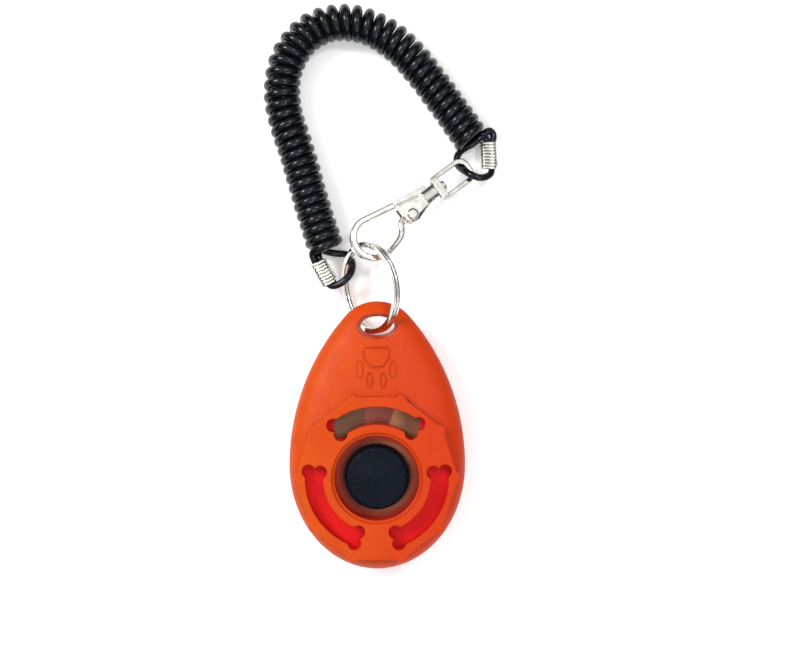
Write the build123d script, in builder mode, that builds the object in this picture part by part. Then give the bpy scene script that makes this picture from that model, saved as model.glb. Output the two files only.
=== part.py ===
"""A dog-training clicker with its key ring, trigger snap and coiled wrist strap, in millimetres.

The clicker lies on its back. +Z is the way its button faces, and +Y runs from the button to the
key-ring hole in the nose. The origin is on the resting plane, under the button's axis.
"""

import os
from math import atan2, cos, degrees, radians, sin, tan

from build123d import *

os.makedirs("parts", exist_ok=True)

# ---- Case: outline seen from the front, and the pebble's two halves ----
WIDE_Y = 2.4  # level where the case is widest
HALF_WIDTH = 19.75
LOWER_LENGTH = 23.3  # widest level to the bottom end
UPPER_LENGTH = 36.7  # widest level to the tip of the nose
TIP_R = 9.5
PART_Z = 9.3  # parting plane of the two shells
WALL = 1.6
SECTION_HEIGHTS = (0, 0.35, 0.6, 0.8, 0.92, 0.975, 0.995)  # shares of a half's full height

FRONT_RISE = 7.35  # height of the front half over the button's axis
FRONT_SLOPE = -0.064  # change of that height with Y, so the nose is thinner
FRONT_POWER = 3
BACK_RISE = 11.26
BACK_SLOPE = -0.1645
BACK_POWER = 2

# ---- Face plate, button opening and bone-shaped windows ----
PLATE_Z = 16.8
PLATE_FOOT_Z = 12.0
PLATE_SIDES = 10
PLATE_R = 18.93
KNOB_R = 1.35
KNOB_AT = 17.95
PLATE_ACROSS = 0.95  # the plate's width as a share of its length
OPENING_R = 9.4
OPENING_LIP = 0.7
COLLAR_WALL = 1.2
COLLAR_Z = 12.7
BONE_R = 13.85  # mean radius of the bone's shaft
BONE_HALF = 2.0
BONE_SWEEP = 38.5  # half angle between the bone's ends
LOBE_R = 1.5
LOBE_SHIFT = 1.3
POCKET_DEPTH = 3.6
POCKET_WALL = 1.0
WINDOW_ANGLE = 91
POCKET_ANGLES = (212.5, 327.5)
WINDOW_SILL_Z = 13.2  # top of the sill at the window's ends
WINDOW_FOOT_Z = 12.3
WINDOW_CLEAR_X = 9.7  # the leaf shows between the sills
WINDOW_CLEAR_Y = 8.6

# ---- Key-ring hole and split ring ----
HOLE_Y = 33.7
HOLE_HALF_X = 3.8
HOLE_HALF_Y = 2.1
HOLE_FLARE = 12  # degrees
HOLE_WALL = 2.2
RING_AT = Vector(-1.7, 42.25, 9.3)
RING_R = 9.85  # mean radius
RING_LEAN = 54  # degrees between the ring's plane and the table
RING_TURN = 10  # degrees about Z
RING_WIDTH = 1.3
RING_TURN_THICK = 0.8

# ---- Click leaf, button and screws ----
LEAF_TOP_Z = 12.0
LEAF_THICK = 0.4
LEAF_R = 10.8
LEAF_HALF = 11.2
LEAF_FOLD_Y = 9.6
LEAF_DEEP_Y = 18.5
LEAF_CLAMP_Y = 20.0
LEAF_END_Y = 24.6
LEAF_CLAMP_HALF = 7.0
LEAF_DROP = 0.9
DISH_R = 5.2
DISH_FLOOR_R = 2.4
DISH_DEEP = 0.6
STEM_R = 1.5
BUTTON_R = 7.3
BUTTON_TOP_Z = 16.35
BUTTON_CROWN = 0.7
PRESS = 1.5
LEAF_SCREW_AT = [(-4.2, 22.3), (4.2, 22.3)]
CASE_SCREW_AT = [(-9.6, 24.0, 7.4), (9.6, 24.0, 7.4), (0, -15.5, 3.3)]  # x, y and seat height
SCREW_R = 0.95
SCREW_TOP_Z = 12.4
BOSS_R = 2.3

# ---- Trigger snap ----
CLASP_AT = Vector(14.07, 65.17, 5.6)
CLASP_HEADING = radians(32)
CLASP_DIP = radians(15)
SWIVEL_SKEW = radians(4.5)  # swivel axis against the snap's long axis
HOOK_C = (-19.6, -2.05)
HOOK_R = 4.55
HOOK_BAR = 1.55
HOOK_THICK = 2.0
RAIL_ANGLE = 85.4
HOOK_SWEEP = 191.6
RAIL_LENGTH = 9.8
BODY_THICK = 3.0
SLOT_THICK = 1.5
GATE_THICK = 0.9
GATE_BAR = 1.6
RIVET_AT = (-9.1, -2.1)
RIVET_R = 0.62
GROOVE = [(-11.9, 1.5), (-5.4, 0.86)]  # parts the rail from the body
GROOVE_WIDTH = 0.36
GROOVE_DEEP = 0.4
CHEEK_FROM = (-2.6, -1.52)  # where the cheek's sloping side starts, and its direction
CHEEK_ANGLE = 192.4
CHEEK_LONG = 10
CHEEK_WIDE = 1.0
CHEEK_DEEP = 0.62
BARREL_R = 2.1
BARREL_FROM = -4.8
BARREL_TO = -1.35
STUD_R = 0.8
BAIL_FROM = -1.15
BAIL_BASE = 1.8
BAIL_END = 9.35
BAIL_HALF = 3.2
BAIL_WIRE = 1.25
BAIL_THICK = 1.5

# ---- Strap ----
COIL_R = 4.3
CORD_R = 0.83
CRIMP_BORE = 0.9
CRIMP_WIRE = 0.37
COIL_Z = 4.35
COIL_ROUTE = [
    (21.7, 76.4, COIL_Z), (14.2, 87.2, COIL_Z), (4.6, 99.2, COIL_Z), (-5.4, 104.0, COIL_Z),
    (-15.0, 102.6, COIL_Z), (-21.4, 95.0, COIL_Z), (-22.4, 84.6, COIL_Z), (-18.4, 73.4, COIL_Z),
    (-15.2, 61.4, COIL_Z), (-11.95, 51.7, COIL_Z),
]
RING_LOOP = [
    (-15.0, 51.9, 3.4), (-13.0, 49.5, 2.2), (-9.6, 49.8, 1.5), (-6.1, 50.0, 1.6),
    (-4.3, 47.4, 4.0), (-5.9, 44.3, 6.2), (-10.1, 42.0, 5.2), (-14.1, 49.0, 5.8),
]
CLASP_LOOP = [
    (18.7, 75.65, 3.1), (17.8, 73.4, 1.5), (17.9, 70.6, 1.2), (20.5, 68.4, 5.7),
    (23.2, 66.8, 5.9), (25.9, 67.5, 3.6), (25.5, 77.0, 2.5),
]
RING_CRIMP_TURNS = 7
CLASP_CRIMP_TURNS = 9


def case_outline(inset, scale):
    """Return the case's outline, moved in by inset and scaled about the button's axis."""
    half = (HALF_WIDTH - inset) * scale
    lower = (LOWER_LENGTH - inset) * scale
    upper = (UPPER_LENGTH - inset) * scale
    tip = (TIP_R - inset) * scale
    wide = WIDE_Y * scale
    side = (half**2 + (upper - tip) ** 2 - tip**2) / (2 * (half - tip))
    lean = degrees(atan2(upper - tip, side - half))
    with BuildSketch() as outline:
        with BuildLine():
            CenterArc((half - side, wide), side, 0, lean)
            CenterArc((0, wide + upper - tip), tip, lean, 180 - 2 * lean)
            CenterArc((side - half, wide), side, 180 - lean, lean)
            EllipticalCenterArc((0, wide), half, lower, start_angle=180, arc_size=180)
        make_face()
    return outline.sketch


def pebble_half(rise, slope, power, way, inset):
    """Return the half of the pebble above (way 1) or below (way -1) the parting plane."""
    with BuildPart() as half:
        for height in SECTION_HEIGHTS:
            lift = way * height
            section = Plane((0, 0, PART_Z + lift * rise), x_dir=(1, 0, 0), z_dir=(0, -lift * slope, 1))
            with BuildSketch(section):
                add(case_outline(inset, (1 - height**power) ** (1 / power)))
        loft()
    return half.part


def bone(angle, grow):
    """Return a bone bent round the origin, centred at angle and grown outwards by grow."""
    with BuildSketch() as outline:
        with BuildLine():
            inner = CenterArc((0, 0), BONE_R - BONE_HALF - grow, angle - BONE_SWEEP, 2 * BONE_SWEEP)
            outer = CenterArc((0, 0), BONE_R + BONE_HALF + grow, angle - BONE_SWEEP, 2 * BONE_SWEEP)
            Line(inner @ 0, outer @ 0)
            Line(inner @ 1, outer @ 1)
        make_face()
        for end in (angle - BONE_SWEEP, angle + BONE_SWEEP):
            for radius in (BONE_R - LOBE_SHIFT, BONE_R + LOBE_SHIFT):
                with Locations((radius * cos(radians(end)), radius * sin(radians(end)))):
                    Circle(LOBE_R + grow)
    return outline.sketch


def flared_hole():
    """Return the key-ring hole as a solid, narrowest at the parting plane."""
    with BuildPart() as hole:
        for way in (1, -1):
            with BuildSketch(Plane.XY.offset(PART_Z)):
                with Locations((0, HOLE_Y)):
                    Ellipse(HOLE_HALF_X, HOLE_HALF_Y)
            extrude(amount=way * PART_Z, taper=-HOLE_FLARE)
    return hole.part


def screw_points(places):
    """Return the X and Y of each screw."""
    return [(place[0], place[1]) for place in places]


def corner_radii(points):
    """Return the arc radius at each inner point of a cord's route."""
    radii = []
    for before, here, after in zip(points, points[1:], points[2:]):
        run_in = Vector(*here) - Vector(*before)
        run_out = Vector(*after) - Vector(*here)
        half_turn = radians(run_in.get_angle(run_out)) / 2
        radii.append(0.45 * min(run_in.length, run_out.length) / tan(half_turn))
    return radii


def cord_tube(points, radius, name):
    """Return a round tube along the route, and print its arc radii and its volume check."""
    radii = corner_radii(points)
    with BuildPart() as tube:
        with BuildLine() as route:
            FilletPolyline(*points, radius=radii)
        wire = route.wires()[0]
        with BuildSketch(Plane(origin=wire @ 0, z_dir=wire % 0)):
            Circle(radius)
        sweep(path=wire)
    expected = 3.14159 * radius**2 * wire.length
    print(name, "length", round(wire.length, 1), "radii", [round(r, 1) for r in radii],
          "volume ratio", round(tube.part.volume / expected, 4))
    return tube.part


front_solid = pebble_half(FRONT_RISE, FRONT_SLOPE, FRONT_POWER, 1, 0)
front_cavity = pebble_half(FRONT_RISE - WALL, FRONT_SLOPE, FRONT_POWER, 1, WALL)
back_solid = pebble_half(BACK_RISE, BACK_SLOPE, BACK_POWER, -1, 0)
back_cavity = pebble_half(BACK_RISE - WALL, BACK_SLOPE, BACK_POWER, -1, WALL)
ring_hole = flared_hole()

# Face plate: a ten-sided plate with a small knob at each corner, a flat side towards the nose.
with BuildPart() as face_plate:
    plate_angles = [radians(360 * side / PLATE_SIDES) for side in range(PLATE_SIDES)]
    with BuildSketch(Plane.XY.offset(PLATE_FOOT_Z)):
        with BuildLine():
            Polyline(*[(PLATE_ACROSS * PLATE_R * cos(a), PLATE_R * sin(a)) for a in plate_angles], close=True)
        make_face()
        with Locations(*[(PLATE_ACROSS * KNOB_AT * cos(a), KNOB_AT * sin(a)) for a in plate_angles]):
            Circle(KNOB_R)
    extrude(amount=PLATE_Z - PLATE_FOOT_Z)
    fillet(face_plate.faces().sort_by(Axis.Z)[-1].edges(), 0.3)

# Inner features of the front shell, cut to the pebble's shape.
with BuildPart() as front_bosses:
    with BuildSketch(Plane.XY.offset(COLLAR_Z)):
        Circle(OPENING_R + COLLAR_WALL)
    extrude(amount=PLATE_Z - COLLAR_Z)
    with BuildSketch(Plane.XY.offset(PLATE_Z - POCKET_DEPTH - POCKET_WALL)):
        for pocket_angle in POCKET_ANGLES:
            add(bone(pocket_angle, POCKET_WALL))
    extrude(amount=POCKET_DEPTH + POCKET_WALL)
    with BuildSketch(Plane.XY.offset(WINDOW_FOOT_Z)):
        add(bone(WINDOW_ANGLE, POCKET_WALL))
    extrude(amount=PLATE_Z - WINDOW_FOOT_Z)
    with BuildSketch(Plane.XY.offset(PART_Z)):
        with Locations((0, HOLE_Y)):
            Ellipse(HOLE_HALF_X + HOLE_WALL, HOLE_HALF_Y + HOLE_WALL)
        with Locations(*screw_points(CASE_SCREW_AT)):
            Circle(BOSS_R)
    extrude(amount=PLATE_Z - PART_Z)
    with BuildSketch(Plane.XY.offset(LEAF_TOP_Z)):
        with Locations(*LEAF_SCREW_AT):
            Circle(BOSS_R - 0.4)
    extrude(amount=PLATE_Z - LEAF_TOP_Z)
    add(front_solid, mode=Mode.INTERSECT)

# Paw mark: (x, y, half width, half height) of each toe, and the main pad's corners.
TOES = [(-3.7, 23.9, 0.95, 2.0), (3.7, 23.9, 0.95, 2.0), (-1.5, 21.5, 0.8, 1.8), (1.5, 21.5, 0.8, 1.8)]
PAD = [(-3.2, 29.0), (3.2, 29.0), (3.0, 26.4), (1.4, 24.2), (-1.4, 24.2), (-3.0, 26.4)]
PAW_LINE = 0.4
PAW_DEEP = 0.24
PAW_Z = 15.02  # shell's surface at PAW_Y
PAW_Y = 21.0
PAW_FALL = 0.14  # surface's fall per millimetre of Y there
with BuildPart() as paw_mark:
    with BuildSketch(Plane((0, PAW_Y, PAW_Z - PAW_DEEP), x_dir=(1, 0, 0), z_dir=(0, PAW_FALL, 1))):
        with BuildLine():
            Polyline(*[(x, y - PAW_Y) for x, y in PAD], close=True)
        pad_face = make_face()
        fillet(pad_face.vertices(), 1.0)
        offset(amount=-PAW_LINE, mode=Mode.SUBTRACT)
        for toe_x, toe_y, toe_rx, toe_ry in TOES:
            with Locations((toe_x, toe_y - PAW_Y)):
                Ellipse(toe_rx, toe_ry)
                Ellipse(toe_rx - PAW_LINE, toe_ry - PAW_LINE, mode=Mode.SUBTRACT)
    extrude(amount=2)

with BuildPart() as front_shell:
    add(front_solid)
    add(face_plate.part)
    split(bisect_by=Plane.XY.offset(PLATE_Z), keep=Keep.BOTTOM)
    add(front_cavity, mode=Mode.SUBTRACT)
    add(front_bosses.part)
    # Opening for the button, with a rounded lip
    with BuildSketch(Plane.XZ):
        with BuildLine():
            low = Polyline((0, PART_Z), (OPENING_R, PART_Z), (OPENING_R, PLATE_Z - OPENING_LIP))
            lip = RadiusArc(low @ 1, (OPENING_R + OPENING_LIP, PLATE_Z), -OPENING_LIP)
            Polyline(lip @ 1, (OPENING_R + OPENING_LIP, PLATE_Z + 1), (0, PLATE_Z + 1), (0, PART_Z))
        make_face()
    revolve(mode=Mode.SUBTRACT)
    # The upper bone is a window onto the leaf, the lower two are blind pockets
    with BuildSketch(Plane.XY.offset(PLATE_Z)):
        add(bone(WINDOW_ANGLE, 0))
    extrude(amount=-(PLATE_Z - WINDOW_SILL_Z), mode=Mode.SUBTRACT)
    with BuildSketch(Plane.XY.offset(WINDOW_SILL_Z)):
        add(bone(WINDOW_ANGLE, 0))
        with Locations((0, WINDOW_CLEAR_Y)):
            Rectangle(2 * WINDOW_CLEAR_X, 12, align=(Align.CENTER, Align.MIN), mode=Mode.INTERSECT)
    extrude(amount=WINDOW_FOOT_Z - WINDOW_SILL_Z, mode=Mode.SUBTRACT)
    with BuildSketch(Plane.XY.offset(PLATE_Z)):
        for pocket_angle in POCKET_ANGLES:
            add(bone(pocket_angle, 0))
    extrude(amount=-POCKET_DEPTH, mode=Mode.SUBTRACT)
    add(ring_hole, mode=Mode.SUBTRACT)
    add(paw_mark.part, mode=Mode.SUBTRACT)
    # Pilot holes of the case and leaf screws
    with BuildSketch(Plane.XY.offset(PART_Z)):
        with Locations(*screw_points(CASE_SCREW_AT)):
            Circle(SCREW_R + 0.05)
    extrude(amount=SCREW_TOP_Z + 0.4 - PART_Z, mode=Mode.SUBTRACT)
    with BuildSketch(Plane.XY.offset(PART_Z)):
        with Locations(*LEAF_SCREW_AT):
            Circle(SCREW_R + 0.05)
    extrude(amount=13.9 - PART_Z, mode=Mode.SUBTRACT)
front_shell.part.label = "front_shell"
export_step(front_shell.part, "parts/front_shell.step")

with BuildPart() as back_bosses:
    with BuildSketch(Plane.XY):
        with Locations((0, HOLE_Y)):
            Ellipse(HOLE_HALF_X + HOLE_WALL, HOLE_HALF_Y + HOLE_WALL)
        with Locations(*screw_points(CASE_SCREW_AT)):
            Circle(BOSS_R + 0.8)
    extrude(amount=PART_Z)
    add(back_solid, mode=Mode.INTERSECT)

with BuildPart() as back_shell:
    add(back_cavity)
    split(bisect_by=Plane.XY.offset(WALL), keep=Keep.TOP)
    hollow = back_shell.part
    add(back_solid, mode=Mode.ADD)
    split(bisect_by=Plane.XY, keep=Keep.TOP)
    add(hollow, mode=Mode.SUBTRACT)
    add(back_bosses.part)
    split(bisect_by=Plane.XY, keep=Keep.TOP)
    add(ring_hole, mode=Mode.SUBTRACT)
    # Each case screw passes up through a recess for its head
    for screw_x, screw_y, seat_z in CASE_SCREW_AT:
        with BuildSketch(Plane.XY):
            with Locations((screw_x, screw_y)):
                Circle(1.95)
        extrude(amount=seat_z, mode=Mode.SUBTRACT)
        with BuildSketch(Plane.XY):
            with Locations((screw_x, screw_y)):
                Circle(SCREW_R + 0.15)
        extrude(amount=PART_Z, mode=Mode.SUBTRACT)
back_shell.part.label = "back_shell"
export_step(back_shell.part, "parts/back_shell.step")


def pan_screw(x, y, seat_z, top_z, head_r, head_thick):
    """Return a pan-head screw that points up, with a cross slot in its head."""
    with BuildPart() as screw:
        with BuildSketch(Plane.XY.offset(seat_z - head_thick)):
            with Locations((x, y)):
                Circle(head_r)
        extrude(amount=head_thick)
        with BuildSketch(Plane.XY.offset(seat_z)):
            with Locations((x, y)):
                Circle(SCREW_R)
        extrude(amount=top_z - seat_z)
        with BuildSketch(Plane.XY.offset(seat_z - head_thick)):
            with Locations((x, y)):
                Rectangle(head_r * 1.3, 0.4)
                Rectangle(0.4, head_r * 1.3)
        extrude(amount=head_thick * 0.6, mode=Mode.SUBTRACT)
    return screw.part


with BuildPart() as case_screws:
    for screw_x, screw_y, seat_z in CASE_SCREW_AT:
        add(pan_screw(screw_x, screw_y, seat_z, SCREW_TOP_Z, 1.8, 1.1))
case_screws.part.label = "case_screws"
export_step(case_screws.part, "parts/case_screws.step")

with BuildPart() as leaf_screws:
    for screw_x, screw_y in LEAF_SCREW_AT:
        add(pan_screw(screw_x, screw_y, LEAF_TOP_Z - LEAF_THICK, 13.7, 1.6, 0.9))
leaf_screws.part.label = "leaf_screws"
export_step(leaf_screws.part, "parts/leaf_screws.step")


def leaf_section(y, half, flat_half, drop):
    """Return the leaf's cross-section at y: a flat middle and two side panels that slope down."""
    upper = [(-half, -drop), (-flat_half, 0), (flat_half, 0), (half, -drop)]
    lower = [(x, z - LEAF_THICK) for x, z in reversed(upper)]
    with BuildSketch(Plane((0, y, LEAF_TOP_Z), x_dir=(1, 0, 0), z_dir=(0, -1, 0))) as section:
        with BuildLine():
            Polyline(*upper, *lower, close=True)
        make_face()
    return section.sketch.faces()[0]


# Click leaf: a dished disc under the button, folded into three panels up to its clamped end.
with BuildPart() as click_leaf:
    with BuildSketch(Plane.XZ):
        with BuildLine():
            top_edge = [(STEM_R + 0.1, -DISH_DEEP), (DISH_FLOOR_R, -DISH_DEEP), (DISH_R, 0), (LEAF_R, 0)]
            under = [(x, z - LEAF_THICK) for x, z in reversed(top_edge)]
            Polyline(*[(x, z + LEAF_TOP_Z) for x, z in top_edge + under], close=True)
        make_face()
    revolve()
    with BuildSketch(Plane.XY.offset(LEAF_TOP_Z - LEAF_THICK)):
        with Locations((0, LEAF_FOLD_Y / 2)):
            Rectangle(2 * LEAF_HALF, LEAF_FOLD_Y)
        Circle(DISH_R + 1, mode=Mode.SUBTRACT)
        with Locations((0, (LEAF_CLAMP_Y + LEAF_END_Y) / 2)):
            Rectangle(2 * LEAF_CLAMP_HALF, LEAF_END_Y - LEAF_CLAMP_Y)
    extrude(amount=LEAF_THICK)
    fold_start = leaf_section(LEAF_FOLD_Y, LEAF_HALF, 2.4, 0.05)
    fold_end = leaf_section(LEAF_DEEP_Y, LEAF_HALF, 4.7, LEAF_DROP)
    loft([fold_start, fold_end], ruled=True)
    neck_start = leaf_section(LEAF_DEEP_Y, LEAF_CLAMP_HALF, 4.7, 0.32)
    neck_end = leaf_section(LEAF_CLAMP_Y + 0.1, LEAF_CLAMP_HALF, 4.7, 0.05)
    loft([neck_start, neck_end], ruled=True)
    with BuildSketch(Plane.XY.offset(LEAF_TOP_Z)):
        with Locations(*LEAF_SCREW_AT):
            Circle(SCREW_R + 0.1)
    extrude(amount=-1, mode=Mode.SUBTRACT)
click_leaf.part.label = "click_leaf"
export_step(click_leaf.part, "parts/click_leaf.step")

# Button: a domed cap with a stem that goes down through the leaf.
CAP_FOOT_Z = LEAF_TOP_Z + 0.05
STEM_END_Z = 8.8
EDGE_R = 1.2
with BuildPart() as button_cap:
    with BuildSketch(Plane.XZ):
        with BuildLine():
            edge_x = BUTTON_R - 0.2 - EDGE_R
            edge_z = BUTTON_TOP_Z - BUTTON_CROWN - EDGE_R
            stem = Polyline((0, STEM_END_Z), (STEM_R, STEM_END_Z), (STEM_R, CAP_FOOT_Z))
            skirt = Polyline(stem @ 1, (BUTTON_R, CAP_FOOT_Z), (edge_x + EDGE_R, edge_z))
            shoulder = RadiusArc(skirt @ 1, (edge_x, edge_z + EDGE_R), -EDGE_R)
            dome = Spline(shoulder @ 1, (0, BUTTON_TOP_Z), tangents=[(-1, 0), (-1, 0)])
            Line(dome @ 1, (0, STEM_END_Z))
        make_face()
    revolve()
button_cap.part.label = "button_cap"
export_step(button_cap.part, "parts/button_cap.step")

# Push-on retainer under the leaf: a washer with six teeth round the stem.
with BuildPart() as button_retainer:
    with BuildSketch(Plane.XY.offset(LEAF_TOP_Z - LEAF_THICK - DISH_DEEP - 0.55)):
        Circle(3.0)
        Circle(STEM_R + 0.02, mode=Mode.SUBTRACT)
        with PolarLocations(STEM_R + 0.4, 6):
            Rectangle(1.0, 0.25, mode=Mode.SUBTRACT)
    extrude(amount=0.5)
button_retainer.part.label = "button_retainer"
export_step(button_retainer.part, "parts/button_retainer.step")

# Split ring: two flat turns, one on the other, leaning through the hole in the nose.
lean = radians(RING_LEAN)
turn = radians(RING_TURN)
ring_high = Vector(cos(lean) * cos(turn), cos(lean) * sin(turn), sin(lean))
ring_far = Vector(-sin(turn), cos(turn), 0)
ring_axis = ring_high.cross(ring_far)
with BuildPart() as split_ring:
    with BuildSketch(Plane(RING_AT, x_dir=ring_far, z_dir=ring_high)):
        with Locations((RING_R, RING_TURN_THICK / 2 - 0.02), (RING_R, 0.02 - RING_TURN_THICK / 2)):
            RectangleRounded(RING_WIDTH, RING_TURN_THICK, 0.2)
    revolve(axis=Axis(RING_AT, ring_axis))
split_ring.part.label = "split_ring"
export_step(split_ring.part, "parts/split_ring.step")

# ---- Trigger snap, drawn flat on its own leaning plane ----
snap_x = Vector(cos(CLASP_DIP) * cos(CLASP_HEADING), cos(CLASP_DIP) * sin(CLASP_HEADING), -sin(CLASP_DIP))
snap_y = Vector(-sin(CLASP_HEADING), cos(CLASP_HEADING), 0)
snap_z = snap_x.cross(snap_y)
swivel_x = snap_x * cos(SWIVEL_SKEW) + snap_y * sin(SWIVEL_SKEW)
snap_plane = Plane(CLASP_AT, x_dir=snap_x, z_dir=snap_z)
bail_plane = Plane(CLASP_AT, x_dir=swivel_x, z_dir=snap_z)


def across_swivel(along):
    """Return the plane square to the swivel's axis at a distance along it."""
    return Plane(CLASP_AT + swivel_x * along, x_dir=snap_z, z_dir=swivel_x)


# Hook, rail, forked body and barrel in one casting.
with BuildPart() as clasp_hook:
    with BuildLine(snap_plane) as hook_line:
        bend = CenterArc(HOOK_C, HOOK_R, RAIL_ANGLE, HOOK_SWEEP)
        rail_dir = Vector(sin(radians(RAIL_ANGLE)), -cos(radians(RAIL_ANGLE)), 0)
        rail_start = (HOOK_C[0] + HOOK_R * cos(radians(RAIL_ANGLE)), HOOK_C[1] + HOOK_R * sin(radians(RAIL_ANGLE)))
        Line(rail_start, (rail_start[0] + rail_dir.X * RAIL_LENGTH, rail_start[1] + rail_dir.Y * RAIL_LENGTH))
    hook_wire = hook_line.wires()[0]
    with BuildSketch(Plane(hook_wire @ 0, x_dir=snap_z, z_dir=hook_wire % 0)):
        RectangleRounded(HOOK_THICK, HOOK_BAR, 0.5)
    sweep(path=hook_wire)
    with BuildSketch(snap_plane.offset(-BODY_THICK / 2)):
        with BuildLine():
            FilletPolyline(
                (-11.7, 2.5), (-3.2, 2.3), (-3.2, -1.9), (-4.8, -2.2), (-8.2, -3.8), (-10.4, -3.5), (-11.4, -1.0),
                radius=0.35, close=True,
            )
        make_face()
    extrude(amount=BODY_THICK)
    with BuildSketch(across_swivel(BARREL_FROM)):
        Circle(BARREL_R)
    extrude(amount=BARREL_TO - BARREL_FROM)
    with BuildSketch(snap_plane.offset(BODY_THICK / 2 - GROOVE_DEEP)):
        with BuildLine():
            Line(*GROOVE)
        trace(line_width=GROOVE_WIDTH)
    extrude(amount=GROOVE_DEEP + 1, mode=Mode.SUBTRACT)
    cheek_dir = snap_x * cos(radians(CHEEK_ANGLE)) + snap_y * sin(radians(CHEEK_ANGLE))
    cheek_at = snap_plane.from_local_coords((CHEEK_FROM[0], CHEEK_FROM[1], BODY_THICK / 2))
    with BuildSketch(Plane(cheek_at, x_dir=cheek_dir.cross(snap_z) * -1, z_dir=cheek_dir)):
        with BuildLine():
            Polyline((0, 0), (CHEEK_WIDE, -CHEEK_DEEP), (4, -CHEEK_DEEP), (4, 1), (0, 1), close=True)
        make_face()
    extrude(amount=CHEEK_LONG, mode=Mode.SUBTRACT)
    # Slot for the gate, and the bores of the rivet and the swivel stud
    with BuildSketch(snap_plane.offset(-SLOT_THICK / 2)):
        with Locations((-10.0, -2.5)):
            Rectangle(6.4, 6.2)
    extrude(amount=SLOT_THICK, mode=Mode.SUBTRACT)
    with BuildSketch(snap_plane.offset(-BODY_THICK)):
        with Locations(RIVET_AT):
            Circle(RIVET_R + 0.02)
    extrude(amount=2 * BODY_THICK, mode=Mode.SUBTRACT)
    with BuildSketch(across_swivel(BARREL_FROM + 0.6)):
        Circle(STUD_R + 0.02)
    extrude(amount=5, mode=Mode.SUBTRACT)
clasp_hook.part.label = "clasp_hook"
export_step(clasp_hook.part, "parts/clasp_hook.step")

# Gate: an eye round the rivet and a bent bar that closes the hook.
GATE_LOW = -0.72  # gate's lower side, below the snap's middle plane
GATE_TIP_TO = (-18.3, -6.6)
GATE_TIP_FROM = (-14.9, -5.196)
with BuildPart() as clasp_gate:
    with BuildSketch(snap_plane.offset(GATE_LOW)):
        with BuildLine():
            FilletPolyline(RIVET_AT, (-12.5, -2.4), (-13.7, -4.7), GATE_TIP_TO, radius=1.2)
        trace(line_width=GATE_BAR)
        with Locations(RIVET_AT):
            Circle(1.45)
            Circle(RIVET_R + 0.05, mode=Mode.SUBTRACT)
    extrude(amount=GATE_THICK)
    with BuildSketch(snap_plane.offset(-HOOK_THICK / 2)):
        with BuildLine():
            Line(GATE_TIP_FROM, GATE_TIP_TO)
        trace(line_width=GATE_BAR)
    extrude(amount=HOOK_THICK)
clasp_gate.part.label = "clasp_gate"
export_step(clasp_gate.part, "parts/clasp_gate.step")

# Rivet through the fork, domed at both ends.
with BuildPart() as gate_rivet:
    with BuildSketch(snap_plane.offset(-BODY_THICK / 2 - 0.4)):
        with Locations(RIVET_AT):
            Circle(RIVET_R)
    extrude(amount=BODY_THICK + 0.8)
    for head_low in (-BODY_THICK / 2 - 0.6, BODY_THICK / 2):
        with BuildSketch(snap_plane.offset(head_low)):
            with Locations(RIVET_AT):
                Circle(1.35)
        extrude(amount=0.6)
    head_faces = gate_rivet.faces().filter_by(lambda f: f.area > 4)
    fillet(head_faces.sort_by(Axis(CLASP_AT, snap_z))[-1].edges(), 0.55)
    head_faces = gate_rivet.faces().filter_by(lambda f: f.area > 0.4)
    fillet(head_faces.sort_by(Axis(CLASP_AT, snap_z))[0].edges(), 0.4)
gate_rivet.part.label = "gate_rivet"
export_step(gate_rivet.part, "parts/gate_rivet.step")

# Torsion spring beside the gate's eye, with one leg along the gate and one into the body.
SPRING_WIRE = 0.18
SPRING_LIFT = 0.46
with BuildPart() as gate_spring:
    rivet_point = snap_plane.from_local_coords((RIVET_AT[0], RIVET_AT[1], SPRING_LIFT))
    with BuildSketch(Plane(rivet_point, x_dir=snap_x, z_dir=snap_y)):
        with Locations((0.95, 0)):
            Circle(SPRING_WIRE)
    revolve(axis=Axis(rivet_point, snap_z))
    for leg_end in ((-3.0, -1.0), (2.1, 0.75)):
        leg_side = Vector(0, 0.95) if leg_end[0] > 0 else Vector(0, -0.95)
        leg_from = snap_plane.from_local_coords((RIVET_AT[0], RIVET_AT[1] + leg_side.Y, SPRING_LIFT))
        leg_to = snap_plane.from_local_coords((RIVET_AT[0] + leg_end[0], RIVET_AT[1] + leg_end[1], SPRING_LIFT))
        leg_way = Vector(leg_to) - Vector(leg_from)
        with BuildSketch(Plane(leg_from, z_dir=leg_way)):
            Circle(SPRING_WIRE - 0.01)
        extrude(amount=leg_way.length)
gate_spring.part.label = "gate_spring"
export_step(gate_spring.part, "parts/gate_spring.step")

# Swivel stud: pressed into the barrel, with its head inside the bail.
with BuildPart() as swivel_stud:
    with BuildSketch(across_swivel(BARREL_FROM + 0.7)):
        Circle(STUD_R)
    extrude(amount=BAIL_FROM + BAIL_BASE + 0.1 - BARREL_FROM - 0.7)
    with BuildSketch(across_swivel(BAIL_FROM + BAIL_BASE + 0.08)):
        Circle(1.3)
    extrude(amount=0.8)
    fillet(swivel_stud.faces().sort_by(Axis(CLASP_AT, swivel_x))[-1].edges(), 0.3)
swivel_stud.part.label = "swivel_stud"
export_step(swivel_stud.part, "parts/swivel_stud.step")

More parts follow.
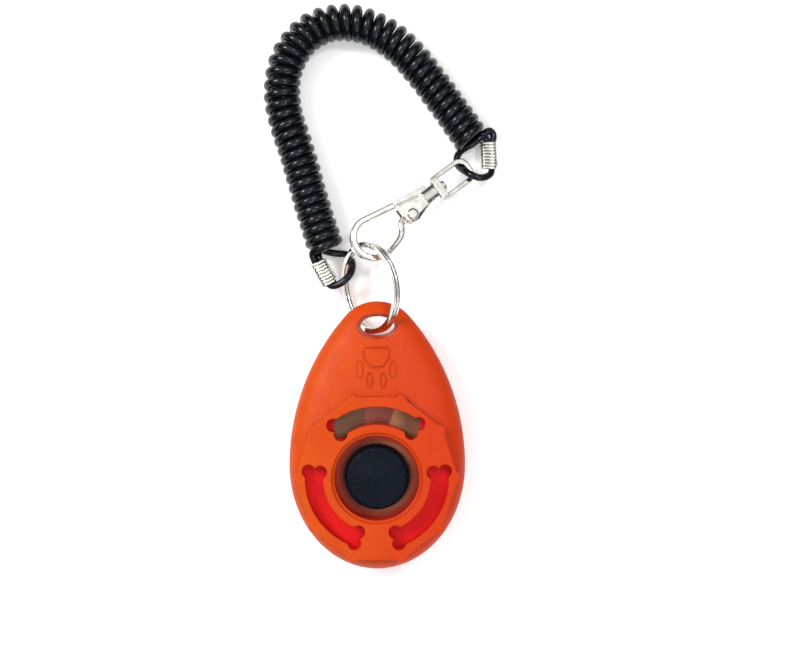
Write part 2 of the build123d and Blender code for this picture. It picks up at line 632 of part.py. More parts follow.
# Bail: a flat D-loop on a thick base that turns on the stud.
with BuildPart() as swivel_bail:
    with BuildSketch(bail_plane.offset(-BAIL_THICK / 2)):
        with BuildLine():
            FilletPolyline(
                (BAIL_FROM + 0.3, -BAIL_HALF), (BAIL_END, -BAIL_HALF), (BAIL_END, BAIL_HALF),
                (BAIL_FROM + 0.3, BAIL_HALF), radius=[0.5, 2.6, 2.6, 0.5], close=True,
            )
        make_face()
        inner_half = BAIL_HALF - BAIL_WIRE
        window_from = BAIL_FROM + BAIL_BASE
        window_end = BAIL_END - BAIL_WIRE
        with BuildLine():
            FilletPolyline(
                (window_from, -inner_half), (window_end, -inner_half), (window_end, inner_half),
                (window_from, inner_half), radius=[0.2, 1.4, 1.4, 0.2], close=True,
            )
        make_face(mode=Mode.SUBTRACT)
    extrude(amount=BAIL_THICK)
    fillet(swivel_bail.edges().filter_by(lambda e: e.length > 0.6).filter_by(bail_plane), 0.35)
    with BuildSketch(across_swivel(BAIL_FROM)):
        RectangleRounded(3.0, 2 * BAIL_HALF - 0.5, 0.5)
    extrude(amount=BAIL_BASE)
    with BuildSketch(across_swivel(BAIL_FROM)):
        Circle(STUD_R + 0.06)
    extrude(amount=BAIL_BASE, mode=Mode.SUBTRACT)
swivel_bail.part.label = "swivel_bail"
export_step(swivel_bail.part, "parts/swivel_bail.step")

# ---- Strap: the coil's outer shape, and the plain cord's loop at each end ----
strap_coil = cord_tube(COIL_ROUTE, COIL_R, "strap_coil")
strap_coil.label = "strap_coil"
export_step(strap_coil, "parts/strap_coil.step")

ring_end_loop = cord_tube(RING_LOOP, CORD_R, "ring_end_loop")
ring_end_loop.label = "ring_end_loop"
export_step(ring_end_loop, "parts/ring_end_loop.step")

clasp_end_loop = cord_tube(CLASP_LOOP, CORD_R, "clasp_end_loop")
clasp_end_loop.label = "clasp_end_loop"
export_step(clasp_end_loop, "parts/clasp_end_loop.step")


def wire_crimp(loop, turns, tail):
    """Return a crimp of close wire turns round the last run of a loop, ending short of its tail."""
    end = Vector(*loop[-1])
    axis = (end - Vector(*loop[-2])).normalized()
    pitch = 2 * CRIMP_WIRE
    middle = end - axis * (tail + turns * pitch / 2)
    across = axis.cross(Vector(0, 0, 1)).normalized()
    with BuildPart() as crimp:
        with BuildSketch(Plane(middle, x_dir=across, z_dir=across.cross(axis) * -1)):
            with Locations(((CRIMP_BORE + 1.35) / 2, 0)):
                Rectangle(1.35 - CRIMP_BORE, (turns - 0.6) * pitch)
            for wire_turn in range(turns):
                with Locations((CRIMP_BORE + 0.08 + CRIMP_WIRE, (wire_turn - (turns - 1) / 2) * pitch)):
                    Circle(CRIMP_WIRE)
        revolve(axis=Axis(middle, axis))
    return crimp.part


ring_end_crimp = wire_crimp(RING_LOOP, RING_CRIMP_TURNS, 0.9)
ring_end_crimp.label = "ring_end_crimp"
export_step(ring_end_crimp, "parts/ring_end_crimp.step")

clasp_end_crimp = wire_crimp(CLASP_LOOP, CLASP_CRIMP_TURNS, 0.9)
clasp_end_crimp.label = "clasp_end_crimp"
export_step(clasp_end_crimp, "parts/clasp_end_crimp.step")
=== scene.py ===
"""The clicker trainer's looks: materials, coiled cord, crimps, split ring, snap gate and studio."""

import bmesh
import bpy
from math import cos, pi, radians, sin
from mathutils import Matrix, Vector


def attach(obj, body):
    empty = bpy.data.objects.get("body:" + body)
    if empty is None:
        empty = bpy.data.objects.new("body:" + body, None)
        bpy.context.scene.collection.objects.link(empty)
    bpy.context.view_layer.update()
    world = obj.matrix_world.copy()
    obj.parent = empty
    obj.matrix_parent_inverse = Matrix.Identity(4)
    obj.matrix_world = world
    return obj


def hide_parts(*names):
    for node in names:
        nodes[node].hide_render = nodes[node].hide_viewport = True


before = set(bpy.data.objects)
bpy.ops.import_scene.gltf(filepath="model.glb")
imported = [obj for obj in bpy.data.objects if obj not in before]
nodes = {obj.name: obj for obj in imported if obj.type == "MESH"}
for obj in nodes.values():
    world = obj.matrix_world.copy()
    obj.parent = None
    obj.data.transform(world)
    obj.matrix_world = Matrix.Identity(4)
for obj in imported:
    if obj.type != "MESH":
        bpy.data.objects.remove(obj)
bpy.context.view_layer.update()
scene = bpy.context.scene

MM = 0.001


def mm(*place):
    """Return a place given in millimetres as a vector in metres."""
    return Vector(place) * MM


# The trigger snap's own directions: along its length, across it, and out of its face.
CLASP_AT = mm(14.07, 65.17, 5.6)
HEADING = radians(32)
DIP = radians(15)
SNAP_X = Vector((cos(DIP) * cos(HEADING), cos(DIP) * sin(HEADING), -sin(DIP)))
SNAP_Y = Vector((-sin(HEADING), cos(HEADING), 0))
SNAP_Z = SNAP_X.cross(SNAP_Y)


# ---- Materials ----

# Places of a Mix node's two colours among its inputs, and of its colour among its outputs.
MIX_A = 6
MIX_B = 7
MIX_RESULT = 2


class Shader:
    """A material's node tree, built one node at a time."""

    def __init__(self, name):
        self.material = bpy.data.materials.new(name)
        self.material.use_nodes = True
        self.tree = self.material.node_tree
        self.bsdf = self.tree.nodes["Principled BSDF"]

    def node(self, kind, inputs=None, **settings):
        """Add a node, set its properties, and set or link its inputs."""
        made = self.tree.nodes.new(kind)
        for name, value in settings.items():
            setattr(made, name, value)
        for name, value in (inputs or {}).items():
            self.feed(made.inputs[name], value)
        return made

    def feed(self, socket, value):
        """Link a socket to another, or set it to a plain value."""
        if isinstance(value, bpy.types.NodeSocket):
            self.tree.links.new(value, socket)
        elif hasattr(value, "__len__") and len(value) == 3 and socket.type == "RGBA":
            socket.default_value = (*value, 1)
        else:
            socket.default_value = value

    def set(self, **values):
        """Set or link sockets of the surface shader, written with underscores for spaces."""
        for name, value in values.items():
            self.feed(self.bsdf.inputs[name.replace("_", " ")], value)

    def place(self):
        """Return the object-space position."""
        return self.node("ShaderNodeTexCoord").outputs["Object"]

    def split_place(self):
        """Return the object-space position's x, y and z."""
        return self.node("ShaderNodeSeparateXYZ", {"Vector": self.place()}).outputs

    def from_axis(self, x, y):
        """Return the distance from the button's axis, which is the object's own Z axis."""
        squares = self.math("ADD", self.math("MULTIPLY", x, x), self.math("MULTIPLY", y, y))
        return self.math("SQRT", squares)

    def noise(self, scale, detail=3.0, rough=0.5, stretch=None, distort=0.0):
        """Return noise from 0 to 1 with that many cells per metre."""
        vector = self.place()
        if stretch:
            vector = self.node(
                "ShaderNodeMapping", {"Vector": vector, "Scale": stretch}
            ).outputs["Vector"]
        return self.node(
            "ShaderNodeTexNoise",
            {"Vector": vector, "Scale": scale, "Detail": detail, "Roughness": rough,
             "Distortion": distort},
        ).outputs["Fac"]

    def cells(self, scale):
        """Return the distance to the nearest cell centre."""
        return self.node(
            "ShaderNodeTexVoronoi", {"Vector": self.place(), "Scale": scale}
        ).outputs["Distance"]

    def math(self, operation, a, b=0.0):
        """Return one math node's result."""
        made = self.node("ShaderNodeMath", operation=operation)
        self.feed(made.inputs[0], a)
        self.feed(made.inputs[1], b)
        return made.outputs[0]

    def steps(self, value, low, high, out_low=0.0, out_high=1.0):
        """Return value mapped smoothly from one range to another."""
        return self.node(
            "ShaderNodeMapRange",
            {"Value": value, "From Min": low, "From Max": high, "To Min": out_low,
             "To Max": out_high},
            interpolation_type="SMOOTHSTEP",
        ).outputs["Result"]

    def mix(self, factor, a, b):
        """Return a colour between two colours."""
        made = self.node("ShaderNodeMix", data_type="RGBA")
        self.feed(made.inputs["Factor"], factor)
        self.feed(made.inputs[MIX_A], a)
        self.feed(made.inputs[MIX_B], b)
        return made.outputs[MIX_RESULT]

    def rounded(self, radius):
        """Return a normal that softens edges by a radius."""
        made = self.node("ShaderNodeBevel", {"Radius": radius}, samples=4)
        return made.outputs["Normal"]

    def bump(self, height, distance, strength=1.0, under=None):
        """Return a normal bent by a height in metres."""
        inputs = {"Height": height, "Distance": distance, "Strength": strength}
        if under is not None:
            inputs["Normal"] = under
        return self.node("ShaderNodeBump", inputs).outputs["Normal"]


PLATE_R = 16.5 * MM  # what lies within this of the button's axis is in the face plate
PLATE_BLUR = 0.4 * MM
POCKET_TOP = 16.5 * MM  # painted shade turns the plastic red between these heights, in the pockets
POCKET_DEEP = 14.6 * MM
CASE_HALF_WIDTH = 18 * MM


def moulded_orange():
    """Satin orange ABS, faintly mottled, fine eroded grain; painted shade makes it redder down in
    the pockets, and painted light makes it lighter at its left side than at its right.
    """
    s = Shader("moulded_orange")
    x, y, z = s.split_place()
    in_plate = s.steps(s.from_axis(x, y), PLATE_R + PLATE_BLUR, PLATE_R)
    # painted shade: red is painted into the pockets of the face plate, standing in for the shade
    # and bounced light inside them
    painted_pocket_shade = s.math("MULTIPLY", in_plate, s.steps(z, POCKET_TOP, POCKET_DEEP))
    mottle = s.steps(s.noise(160, 2), 0.35, 0.65)
    # painted light: the mottled orange is painted lighter at the left side and darker and redder
    # towards the right (+X)
    left = s.mix(mottle, (0.585, 0.067, 0.0025), (0.550, 0.058, 0.0025))
    across = s.steps(x, -CASE_HALF_WIDTH, CASE_HALF_WIDTH)
    face = s.mix(across, left, (0.535, 0.036, 0.0025))
    s.set(
        Base_Color=s.mix(painted_pocket_shade, face, (0.66, 0.006, 0.007)),
        Roughness=s.steps(s.noise(900, 3), 0.2, 0.8, 0.38, 0.52),
        Specular_IOR_Level=0.13,
        Subsurface_Weight=0.08,
        Subsurface_Radius=(1.0, 0.3, 0.1),
        Subsurface_Scale=0.0012,
    )
    grain = s.bump(s.noise(5200, 2), 0.000012, 0.5, s.rounded(0.35 * MM))
    s.set(Normal=s.bump(s.noise(420, 2), 0.00003, 0.35, grain))
    return s.material


def button_rubber():
    """Blue-black hard rubber with a fine leathery texture."""
    s = Shader("button_rubber")
    shade = s.steps(s.noise(1500, 4, 0.6), 0.3, 0.7)
    s.set(
        Base_Color=s.mix(shade, (0.0014, 0.0028, 0.0070), (0.0044, 0.0072, 0.0140)),
        Roughness=s.steps(s.noise(2300, 3), 0.25, 0.75, 0.36, 0.56),
        Specular_IOR_Level=0.07,
    )
    creases = s.bump(s.cells(2200), 0.00009, 0.9)
    s.set(Normal=s.bump(s.noise(3800, 4, 0.65), 0.00003, 0.5, creases))
    return s.material


def cord_skin():
    """Glossy black polyurethane with a bluish cast and faint extrusion marks."""
    s = Shader("cord_skin")
    shade = s.steps(s.noise(700, 3), 0.3, 0.7)
    s.set(
        Base_Color=s.mix(shade, (0.0022, 0.0026, 0.0042), (0.0055, 0.0062, 0.0105)),
        Roughness=s.steps(s.noise(1300, 4, 0.6), 0.25, 0.75, 0.11, 0.24),
        Specular_IOR_Level=0.22,
        Coat_Weight=0.14,
        Coat_Roughness=0.06,
    )
    s.set(Normal=s.bump(s.noise(1900, 3, 0.55), 0.000014, 0.3))
    return s.material


CAST_EDGE = 0.3 * MM  # the rounding of a casting's edges
ROUGH_SPREAD = 0.12


def plated(name, dark, light, rough, scratch, edge=None):
    """A plated or polished metal with soft pooling in its plating and hairline scratches."""
    s = Shader(name)
    pool = s.steps(s.noise(520, 3), 0.3, 0.7)
    hairs = s.noise(1400, 4, 0.6, stretch=(1.0, 7.0, 2.0), distort=0.3)
    s.set(
        Base_Color=s.mix(pool, dark, light),
        Metallic=1.0,
        Roughness=s.steps(hairs, 0.3, 0.75, rough, rough + ROUGH_SPREAD),
    )
    worn = s.bump(hairs, 0.000006, scratch, s.rounded(edge) if edge else None)
    s.set(Normal=s.bump(s.noise(330, 2), 0.00003, 0.25, worn))
    return s.material


# The click leaf's look: a ring round the button painted with shade and with the orange case's
# reflection, then facets folded at two lines, each painted with a reflection tint.
WELL_R = (7.6 * MM, 9.0 * MM)  # the ring's painted reflection turns red between these radii
LEAF_R = (9.3 * MM, 10.4 * MM)  # and into the painted facet tints between these
WELL_SIDES = 5.0 * MM
LEFT_FOLD = -2.6 * MM
LEFT_FOLD_BLUR = 0.3 * MM
RIGHT_FOLD = 3.2 * MM
RIGHT_FOLD_BLUR = 0.1 * MM
FOLD_SLANT = -0.35  # the right fold leans by this much across the leaf
FOLD_Y = 13 * MM  # where it crosses RIGHT_FOLD
TAN_X = (3.5 * MM, 7.0 * MM)
RIGHT_SLOPE = 0.16  # the right panel's rise past its fold
LEFT_SLOPE = 0.10
LEFT_CREASE = -3.2 * MM  # the left panel's rise starts here, just past its change of tint


def spring_steel():
    """Spring steel with a fine rolled grain, folded at two lines into flat facets that catch
    different light from their bump and from painted reflection tints; a ring round the button is
    painted with shade and reflection.
    """
    s = Shader("spring_steel")
    x, y, _ = s.split_place()
    radius = s.from_axis(x, y)
    grain = s.noise(900, 4, 0.6, stretch=(9.0, 0.8, 1.0))
    cloud = s.steps(s.noise(230, 3), 0.3, 0.7)
    # painted reflection: the middle facet is painted in browns that mirror the orange case, in soft
    # clouds
    painted_brown_reflection = s.mix(cloud, (0.19, 0.048, 0.036), (0.25, 0.072, 0.056))
    left = s.steps(x, LEFT_FOLD, LEFT_FOLD - LEFT_FOLD_BLUR)
    slant = s.math("MULTIPLY", s.math("SUBTRACT", y, FOLD_Y), FOLD_SLANT)
    slanted = s.math("ADD", x, slant)
    right = s.steps(slanted, RIGHT_FOLD - RIGHT_FOLD_BLUR, RIGHT_FOLD + RIGHT_FOLD_BLUR)
    # painted reflection: the right facet is painted tan by its fold and darker further right; the
    # left facet is painted a darker brown
    painted_tan_reflection = s.mix(s.steps(x, *TAN_X), (0.31, 0.130, 0.066), (0.15, 0.060, 0.036))
    painted_panel_reflections = s.mix(right, s.mix(left, painted_brown_reflection, (0.14, 0.070, 0.042)), painted_tan_reflection)
    # painted light: the ring round the button is painted dark at its left side and lighter at its
    # right, and painted red from the case's reflection between WELL_R
    side = s.steps(x, -WELL_SIDES, WELL_SIDES)
    edge = s.mix(side, (0.10, 0.026, 0.022), (0.26, 0.085, 0.045))
    painted_well_reflection = s.mix(s.steps(radius, *WELL_R), edge, (0.24, 0.028, 0.016))
    s.set(
        Base_Color=s.mix(s.steps(radius, *LEAF_R), painted_well_reflection, painted_panel_reflections),
        Metallic=1.0,
        Roughness=s.steps(grain, 0.3, 0.7, 0.24, 0.38),
    )
    past_right = s.math("MAXIMUM", s.math("SUBTRACT", slanted, RIGHT_FOLD), 0.0)
    past_left = s.math("MAXIMUM", s.math("SUBTRACT", LEFT_CREASE, x), 0.0)
    folds = s.math(
        "ADD",
        s.math("MULTIPLY", past_right, RIGHT_SLOPE),
        s.math("MULTIPLY", past_left, LEFT_SLOPE),
    )
    s.set(Normal=s.bump(grain, 0.00001, 0.4, s.bump(folds, 1.0, 1.0)))
    return s.material


ORANGE = moulded_orange()
RUBBER = button_rubber()
CORD = cord_skin()
NICKEL = plated("nickel_plate", (0.66, 0.63, 0.58), (0.84, 0.82, 0.78), 0.07, 0.5, CAST_EDGE)
RIVET = plated("rivet_head", (0.50, 0.47, 0.43), (0.70, 0.67, 0.62), 0.12, 0.8, CAST_EDGE)
BRIGHT = plated("bright_wire", (0.64, 0.62, 0.57), (0.86, 0.84, 0.80), 0.10, 0.7)
SCREW = plated("zinc_screw", (0.42, 0.42, 0.41), (0.60, 0.60, 0.58), 0.24, 0.8)
LEAF = spring_steel()

CAD_FINISH = {
    "front_shell": ORANGE,
    "back_shell": ORANGE,
    "click_leaf": LEAF,
    "leaf_screws": SCREW,
    "case_screws": SCREW,
    "button_cap": RUBBER,
    "button_retainer": SCREW,
    "clasp_hook": NICKEL,
    "clasp_gate": NICKEL,
    "gate_rivet": RIVET,
    "gate_spring": BRIGHT,
    "swivel_stud": NICKEL,
    "swivel_bail": NICKEL,
}
for name, material in CAD_FINISH.items():
    for slot in nodes[name].material_slots:
        slot.material = material


# ---- The cord: one smooth line, wound into the coil between its two plain loops ----

# The middle line of the coil, in millimetres, from its clasp end to its ring end.
COIL_Z = 4.35
COIL_ROUTE = [
    (21.7, 76.4, COIL_Z), (14.2, 87.2, COIL_Z), (4.6, 99.2, COIL_Z), (-5.4, 104.0, COIL_Z),
    (-15.0, 102.6, COIL_Z), (-21.4, 95.0, COIL_Z), (-22.4, 84.6, COIL_Z), (-18.4, 73.4, COIL_Z),
    (-15.2, 61.4, COIL_Z), (-11.95, 51.7, COIL_Z),
]
# Each plain end runs through its crimp twice, with the loop between: place in millimetres, and
# share of the coil's thickness.
IN_CRIMP = 0.60
PLAIN = 0.71
LAST_TURN = 0.85
RING_LOOP = [
    (-10.3, 43.6, 5.31, IN_CRIMP), (-11.8, 46.3, 5.54, IN_CRIMP), (-13.2, 48.9, 5.8, IN_CRIMP),
    (-13.8, 50.5, 5.0, PLAIN), (-12.8, 51.1, 3.5, PLAIN), (-11.2, 50.6, 2.2, PLAIN),
    (-9.3, 50.4, 1.6, PLAIN), (-6.9, 50.4, 1.6, PLAIN), (-5.5, 47.7, 4.0, PLAIN),
    (-6.3, 45.0, 6.2, PLAIN), (-8.9, 43.0, 5.7, PLAIN), (-11.0, 42.6, 5.3, PLAIN),
    (-13.0, 45.6, 5.54, IN_CRIMP), (-14.4, 48.2, 5.76, IN_CRIMP), (-15.1, 50.1, 6.2, PLAIN),
]
CLASP_LOOP = [
    (24.3, 77.9, 2.0, LAST_TURN), (25.9, 79.1, 2.4, PLAIN), (26.95, 77.8, 2.6, PLAIN),
    (26.4, 75.6, 2.7, IN_CRIMP), (26.3, 73.0, 3.0, IN_CRIMP), (26.4, 70.2, 3.4, IN_CRIMP),
    (26.1, 68.3, 4.0, PLAIN), (23.4, 67.3, 5.8, PLAIN), (20.7, 68.6, 5.7, PLAIN),
    (18.3, 70.8, 1.2, PLAIN), (18.3, 73.3, 1.5, PLAIN), (20.0, 74.7, 3.2, PLAIN),
    (21.9, 75.5, 4.0, PLAIN), (23.9, 77.4, 3.9, PLAIN), (25.3, 76.9, 3.2, PLAIN),
    (24.95, 75.0, 2.9, IN_CRIMP), (24.9, 73.4, 3.0, IN_CRIMP), (25.1, 70.4, 3.4, IN_CRIMP),
]
CORD_R = 1.17 * MM  # in the coil
TURN_R = 3.18 * MM
ARCH_AT = 0.52  # share of the coil where its turns open most
OPENING = 0.085
TURNS = 43
FIRST_ANGLE = radians(50)
LAST_ANGLE = radians(300)
PER_TURN = 16
# How unevenly the turns are wound: share of their radius, rate along the coil, and start.
UNEVEN = [(0.012, 1.7, 0), (0.008, 0.61, 1)]


def spline_curve(name, points, radii=None, depth=0.0, resolution=8, roundness=5):
    """Return a curve object whose one NURBS spline has those control points, in metres."""
    data = bpy.data.curves.new(name, "CURVE")
    data.dimensions = "3D"
    data.bevel_depth = depth
    data.bevel_resolution = roundness
    data.use_fill_caps = True
    data.resolution_u = resolution
    line = data.splines.new("NURBS")
    line.points.add(len(points) - 1)
    for i, (point, place) in enumerate(zip(line.points, points)):
        point.co = (*place, 1)
        point.radius = radii[i] if radii else 1.0
    line.order_u = 3
    line.use_endpoint_u = True
    made = bpy.data.objects.new(name, data)
    scene.collection.objects.link(made)
    return made


def points_along(points):
    """Return the points of the smooth line that has those control points."""
    guide = spline_curve("guide", points, resolution=24)
    mesh = bpy.data.meshes.new_from_object(guide)
    found = [v.co.copy() for v in mesh.vertices]
    bpy.data.objects.remove(guide)
    bpy.data.meshes.remove(mesh)
    if (found[0] - points[0]).length > (found[-1] - points[0]).length:
        found.reverse()
    return found


def at_share(line, share):
    """Return the place and direction at a share of a line's length."""
    lengths = [0.0]
    for a, b in zip(line, line[1:]):
        lengths.append(lengths[-1] + (b - a).length)
    want = min(max(share, 0.0), 1.0) * lengths[-1]
    i = 0
    while i < len(line) - 2 and lengths[i + 1] < want:
        i += 1
    run = line[i + 1] - line[i]
    return line[i] + run * ((want - lengths[i]) / run.length), run.normalized()


coil_line = points_along([mm(*p) for p in reversed(COIL_ROUTE)])
UP = Vector((0, 0, 1))
whole_angle = TURNS * 2 * pi + LAST_ANGLE - FIRST_ANGLE
steps = round(whole_angle / (2 * pi) * PER_TURN)
helix = []
for step in range(steps + 1):
    share = step / steps
    opened = sin(2 * pi * (share - ARCH_AT)) + sin(2 * pi * ARCH_AT)
    centre, along = at_share(coil_line, share + OPENING / (2 * pi) * opened)
    side = UP.cross(along).normalized()
    angle = FIRST_ANGLE + share * whole_angle
    turn = step / PER_TURN
    spread = TURN_R * (1 + sum(part * sin(turn * rate + start) for part, rate, start in UNEVEN))
    helix.append(centre + (side * cos(angle) + UP * sin(angle)) * spread)

ring_end = [mm(*p[:3]) for p in RING_LOOP]
clasp_end = [mm(*p[:3]) for p in CLASP_LOOP]
cord_points = ring_end + helix + clasp_end
cord_radii = [p[3] for p in RING_LOOP] + [1.0] * len(helix) + [p[3] for p in CLASP_LOOP]
cord = spline_curve("coiled_cord", cord_points, cord_radii, CORD_R, resolution=3)
cord.data.materials.append(CORD)
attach(cord, "strap")
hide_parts("strap_coil", "ring_end_loop", "clasp_end_loop")


# ---- Wire crimps, split ring and snap gate ----


def rounded_bar(wide, thick, half_wide, half_thick, corner, per_corner):
    """Return the outline of a bar with rounded corners, as offsets along two directions."""
    points = []
    for cx, cy, start in ((1, 1, 0), (-1, 1, 90), (-1, -1, 180), (1, -1, 270)):
        for k in range(per_corner):
            angle = radians(start + 90 * k / (per_corner - 1))
            points.append(
                wide * (cx * (half_wide - corner) + corner * cos(angle))
                + thick * (cy * (half_thick - corner) + corner * sin(angle))
            )
    return points


def tube_mesh(name, line, outline):
    """Return a mesh that carries an outline along a line, with flat ends.

    outline(i) gives the outline's points as offsets from the line's point i."""
    build = bmesh.new()
    rings = [[build.verts.new(point + offset) for offset in outline(i)]
             for i, point in enumerate(line)]
    count = len(rings[0])
    for first, second in zip(rings, rings[1:]):
        for k in range(count):
            after = (k + 1) % count
            build.faces.new((first[k], first[after], second[after], second[k]))
    build.faces.new(reversed(rings[0]))
    build.faces.new(rings[-1])
    bmesh.ops.recalc_face_normals(build, faces=build.faces)
    data = bpy.data.meshes.new(name)
    build.to_mesh(data)
    build.free()
    for face in data.polygons:
        face.use_smooth = len(face.vertices) == 4
    made = bpy.data.objects.new(name, data)
    scene.collection.objects.link(made)
    return made


CRIMP_WIRE = 0.36 * MM  # the wire's radius
CRIMP_REACH = 0.98 * MM  # from a strand's middle to the wire's
CRIMP_APART = 0.76 * MM  # from the crimp's middle to a strand's
CRIMP_PER_TURN = 24
CRIMP_FLAT = 1.8  # above 1, the windings run straight between the strands
TUCK_TURNS = 0.3  # the wire's last share of a turn bends in
TUCK_DEPTH = 0.25


def wire_crimp(name, middle, axis, turns, pitch):
    """Return a close helix of wire round the two strands of a plain end, tucked in at both ends."""
    axis = axis.normalized()
    across = axis.cross(UP).normalized()
    upward = across.cross(axis)
    line = []
    total = turns * CRIMP_PER_TURN
    for step in range(total + 1):
        angle = step / CRIMP_PER_TURN * 2 * pi
        edge = min(step, total - step) / CRIMP_PER_TURN
        tuck = 1 - TUCK_DEPTH * max(0.0, 1 - edge / TUCK_TURNS)
        strand = CRIMP_APART * min(max(CRIMP_FLAT * cos(angle), -1), 1)
        around = across * (strand + CRIMP_REACH * cos(angle)) + upward * CRIMP_REACH * sin(angle)
        height = (step / CRIMP_PER_TURN - turns / 2) * pitch
        line.append(middle + axis * height + around * tuck)
    made = spline_curve(name, line, None, CRIMP_WIRE, resolution=2, roundness=3)
    made.data.materials.append(BRIGHT)
    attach(made, "strap")
    return made


RING_CRIMP_AT = mm(-12.37, 45.97, 5.54)
RING_CRIMP_AXIS = Vector((-0.495, 0.866, 0.074))
CLASP_CRIMP_AT = mm(25.68, 73.0, 3.0)
CLASP_CRIMP_AXIS = Vector((-0.042, 0.993, -0.115))
ring_crimp = wire_crimp(
    "ring_crimp_wire", RING_CRIMP_AT, RING_CRIMP_AXIS, turns=8, pitch=0.745 * MM
)
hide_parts("ring_end_crimp")
clasp_crimp = wire_crimp(
    "clasp_crimp_wire", CLASP_CRIMP_AT, CLASP_CRIMP_AXIS, turns=9, pitch=0.715 * MM
)
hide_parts("clasp_end_crimp")

# Split ring: two turns of flat wire, with a jog where the wire steps from one turn to the other.
RING_AT = mm(-1.7, 42.25, 9.3)
RING_R = 9.85 * MM
RING_LEAN = radians(54)
RING_TURN = radians(10)
RING_HALF_WIDTH = 0.65 * MM
RING_HALF_THICK = 0.385 * MM
RING_CORNER = 0.22 * MM
RING_CLEARANCE = 0.01 * MM  # half the gap between the two turns
RING_PER_TURN = 120
RING_END_GAP = radians(4)  # each end of the wire stops this far from the jog
JOG_AT = radians(-14)
JOG_SWEEP = radians(26)


def split_ring():
    """Add the ring as one flat wire wound twice round."""
    far = Vector((-sin(RING_TURN), cos(RING_TURN), 0))
    near = Vector((cos(RING_TURN), sin(RING_TURN), 0))
    high = near * cos(RING_LEAN) + UP * sin(RING_LEAN)
    axis = high.cross(far)
    step_over = 2 * (RING_HALF_THICK + RING_CLEARANCE)
    total = 2 * RING_PER_TURN
    line = []
    outwards = []
    for step in range(total + 1):
        angle = JOG_AT + (step / total) * (4 * pi - 2 * RING_END_GAP) + RING_END_GAP
        gone = (step / total - 0.5) * 4 * pi
        rise = min(max(gone / JOG_SWEEP + 0.5, 0), 1)
        rise = rise * rise * (3 - 2 * rise)
        out = far * cos(angle) + high * sin(angle)
        line.append(RING_AT + out * RING_R + axis * (rise - 0.5) * step_over)
        outwards.append(out)

    def outline(i):
        return rounded_bar(
            outwards[i], axis, RING_HALF_WIDTH, RING_HALF_THICK, RING_CORNER, per_corner=4
        )

    made = tube_mesh("flat_wire_ring", line, outline)
    made.data.materials.append(BRIGHT)
    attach(made, "ring")
    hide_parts("split_ring")


split_ring()

# Snap gate: a curved bar, thin between the cheeks of the fork and thicker where it shows.
GATE_LINE = [
    (-9.1, -2.1), (-10.6, -1.7), (-12.2, -2.2), (-12.9, -4.2), (-14.9, -5.75), (-18.3, -6.6),
]
GATE_HALF_THICK = 0.42 * MM  # in the fork
GATE_MORE_THICK = 0.42 * MM  # added where it shows
THICKENS_FROM = -11.6  # millimetres along the snap
THICKENS_OVER = 1.6
GATE_HALF_WIDTH = 0.78 * MM
GATE_LESS_WIDE = 0.10 * MM  # taken off at the tip
NARROWS_FROM = -15.0
NARROWS_OVER = 3
GATE_CORNER = 0.88  # share of its half thickness
GATE_STRIDE = 4  # one in this many points of the smooth line gets an outline


def snap_gate():
    """Add the gate as one smooth bar with rounded edges."""
    line = points_along([CLASP_AT + (SNAP_X * u + SNAP_Y * v) * MM for u, v in GATE_LINE])
    line = line[::GATE_STRIDE] + [line[-1]]

    def outline(i):
        along = (line[min(i + 1, len(line) - 1)] - line[max(i - 1, 0)]).normalized()
        reach = (line[i] - CLASP_AT).dot(SNAP_X) / MM
        seen = min(max((THICKENS_FROM - reach) / THICKENS_OVER, 0), 1)
        tip = min(max((NARROWS_FROM - reach) / NARROWS_OVER, 0), 1)
        half_thick = GATE_HALF_THICK + GATE_MORE_THICK * seen
        return rounded_bar(
            SNAP_Z.cross(along), SNAP_Z, GATE_HALF_WIDTH - GATE_LESS_WIDE * tip, half_thick,
            half_thick * GATE_CORNER, per_corner=5,
        )

    made = tube_mesh("curved_gate", line, outline)
    made.data.materials.append(NICKEL)
    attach(made, "gate")
    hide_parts("clasp_gate")


snap_gate()

# ---- Floor, lights and camera ----


FLOOR_HALF = 1.5
BELOW = 0.0002  # the floor's gap under the object
BACKDROP_R = 0.8
BACKDROP_HEIGHT = 3.0
BACKDROP_SINK = 0.001  # how far it reaches under the floor
STAGE_Y = 0.04  # the middle of the object


def staged(name, build, material, height):
    """Put a bmesh in the scene as part of the stage, at that height."""
    data = bpy.data.meshes.new(name)
    build.to_mesh(data)
    build.free()
    data.materials.append(material)
    made = bpy.data.objects.new(name, data)
    made.location = (0, STAGE_Y, height)
    scene.collection.objects.link(made)
    return made


def pale_floor():
    """Add a plain pale floor just under the object."""
    s = Shader("pale_floor")
    tone = s.steps(s.noise(30, 2), 0.3, 0.7)
    s.set(
        Base_Color=s.mix(tone, (0.90, 0.90, 0.90), (0.92, 0.92, 0.92)),
        Roughness=0.9,
        Specular_IOR_Level=0.1,
        Emission_Color=(1.0, 1.0, 1.0),
        Emission_Strength=0.22,
    )
    build = bmesh.new()
    bmesh.ops.create_grid(build, x_segments=8, y_segments=8, size=FLOOR_HALF)
    staged("floor", build, s.material, -BELOW)


def pale_backdrop():
    """Add a pale round wall far behind the object, which only the camera sees."""
    s = Shader("pale_backdrop")
    s.set(
        Base_Color=(0.0, 0.0, 0.0),
        Roughness=1.0,
        Specular_IOR_Level=0.0,
        Emission_Color=(1.0, 1.0, 1.0),
        Emission_Strength=0.97,
    )
    s.material.cycles.emission_sampling = "NONE"
    build = bmesh.new()
    bmesh.ops.create_cone(
        build, cap_ends=False, segments=64, radius1=BACKDROP_R, radius2=BACKDROP_R,
        depth=BACKDROP_HEIGHT,
    )
    made = staged("backdrop", build, s.material, BACKDROP_HEIGHT / 2 - BACKDROP_SINK)
    made.visible_diffuse = False
    made.visible_glossy = False
    made.visible_transmission = False
    made.visible_volume_scatter = False
    made.visible_shadow = False


pale_floor()
pale_backdrop()


MIDDLE = Vector((0, STAGE_Y, 0.005))


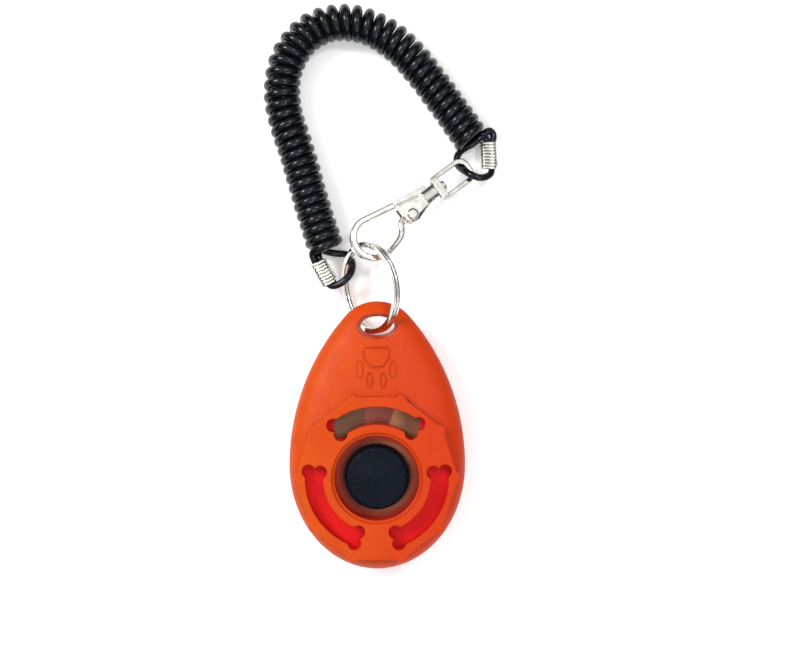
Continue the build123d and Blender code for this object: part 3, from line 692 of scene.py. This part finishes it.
def soft_light(name, place, size, power, colour):
    """Add a square area light that faces the middle of the object."""
    data = bpy.data.lights.new(name, "AREA")
    data.shape = "SQUARE"
    data.size = size
    data.energy = power
    data.color = colour
    made = bpy.data.objects.new(name, data)
    made.location = place
    made.rotation_euler = (MIDDLE - Vector(place)).to_track_quat("-Z", "Y").to_euler()
    scene.collection.objects.link(made)


soft_light("key", (-0.34, 0.24, 0.42), 0.17, 2.1, (1.0, 0.985, 0.96))
soft_light("spark", (0.17, 0.20, 0.50), 0.035, 0.55, (1.0, 1.0, 1.0))
soft_light("low_fill", (0.20, -0.34, 0.36), 0.22, 0.6, (0.97, 0.985, 1.0))

# Height of the direction looked in (0 level, 1 straight up) and the sky's colour there.
SKY = [(0.45, (0.10, 0.10, 0.11, 1)), (0.74, (0.92, 0.92, 0.93, 1)), (1.0, (1.0, 1.0, 1.0, 1))]
SKY_STRENGTH = 1.1


def studio_sky():
    """Add a sky that is dark near the floor and white above, which the metal mirrors."""
    world = bpy.data.worlds.new("studio")
    scene.world = world
    world.use_nodes = True
    sky = world.node_tree
    place = sky.nodes.new("ShaderNodeTexCoord")
    split = sky.nodes.new("ShaderNodeSeparateXYZ")
    ramp = sky.nodes.new("ShaderNodeValToRGB")
    background = sky.nodes["Background"]
    sky.links.new(place.outputs["Generated"], split.inputs[0])
    sky.links.new(split.outputs["Z"], ramp.inputs["Fac"])
    sky.links.new(ramp.outputs["Color"], background.inputs["Color"])
    background.inputs["Strength"].default_value = SKY_STRENGTH
    stops = ramp.color_ramp.elements
    stops[0].position, stops[0].color = SKY[0]
    stops[1].position, stops[1].color = SKY[2]
    stops.new(SKY[1][0]).color = SKY[1][1]


def overhead_camera():
    """Add the camera, which looks straight down."""
    data = bpy.data.cameras.new("camera")
    data.lens = 58.2
    data.sensor_width = 36
    data.clip_start = 0.01
    camera = bpy.data.objects.new("camera", data)
    camera.location = mm(4.55, 33.5, 300)
    scene.collection.objects.link(camera)
    scene.camera = camera


studio_sky()
overhead_camera()
scene.view_settings.view_transform = "Standard"
scene.view_settings.look = "None"
